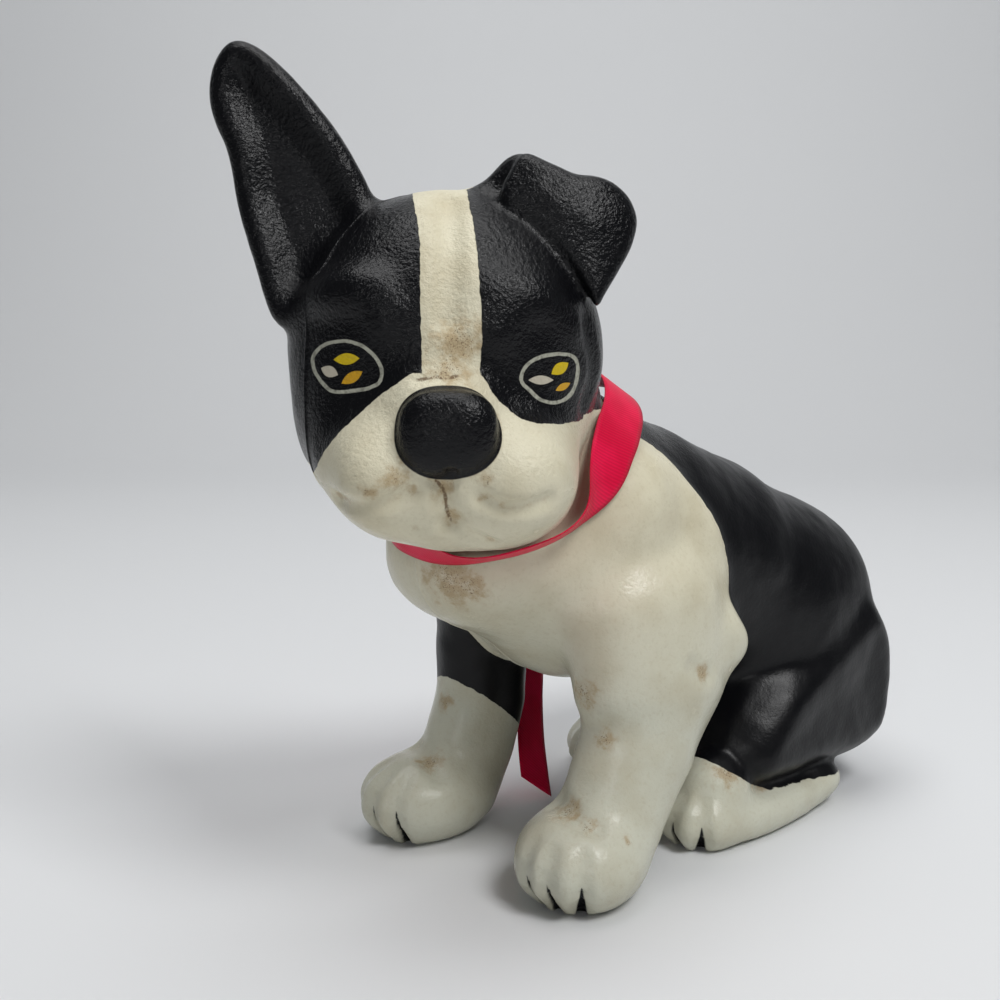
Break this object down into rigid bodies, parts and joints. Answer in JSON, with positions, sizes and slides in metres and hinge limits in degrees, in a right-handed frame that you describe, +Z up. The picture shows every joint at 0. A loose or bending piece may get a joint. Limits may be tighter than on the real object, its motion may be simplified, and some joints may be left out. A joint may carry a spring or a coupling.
{
  "type": "doorstop",
  "caption": "Heavy painted cast iron doorstop shaped as a seated puppy with one ear up, ribbon round its neck; stands on its paws and rump.",
  "frame": {"origin": "on the floor, in the middle of the object's box", "axes": "+Z up, the body faces -Y, the dog's left side is +X, and the head is turned to +X"},
  "size_m": [0.112, 0.2494, 0.2534],
  "materials": {
    "painted_iron": "gloss enamel in cream and black over pebbly iron",
    "steel_screw": "dull, darkened",
    "red_satin": "satin"
  },
  "bodies": {
    "root": {"casting_left_half": "painted_iron", "casting_right_half": "painted_iron", "assembly_screw": "steel_screw", "ribbon_neck_band": "red_satin", "ribbon_knot": "red_satin", "ribbon_long_tail": "red_satin", "ribbon_short_tail": "red_satin"}
  },
  "joints": []
}
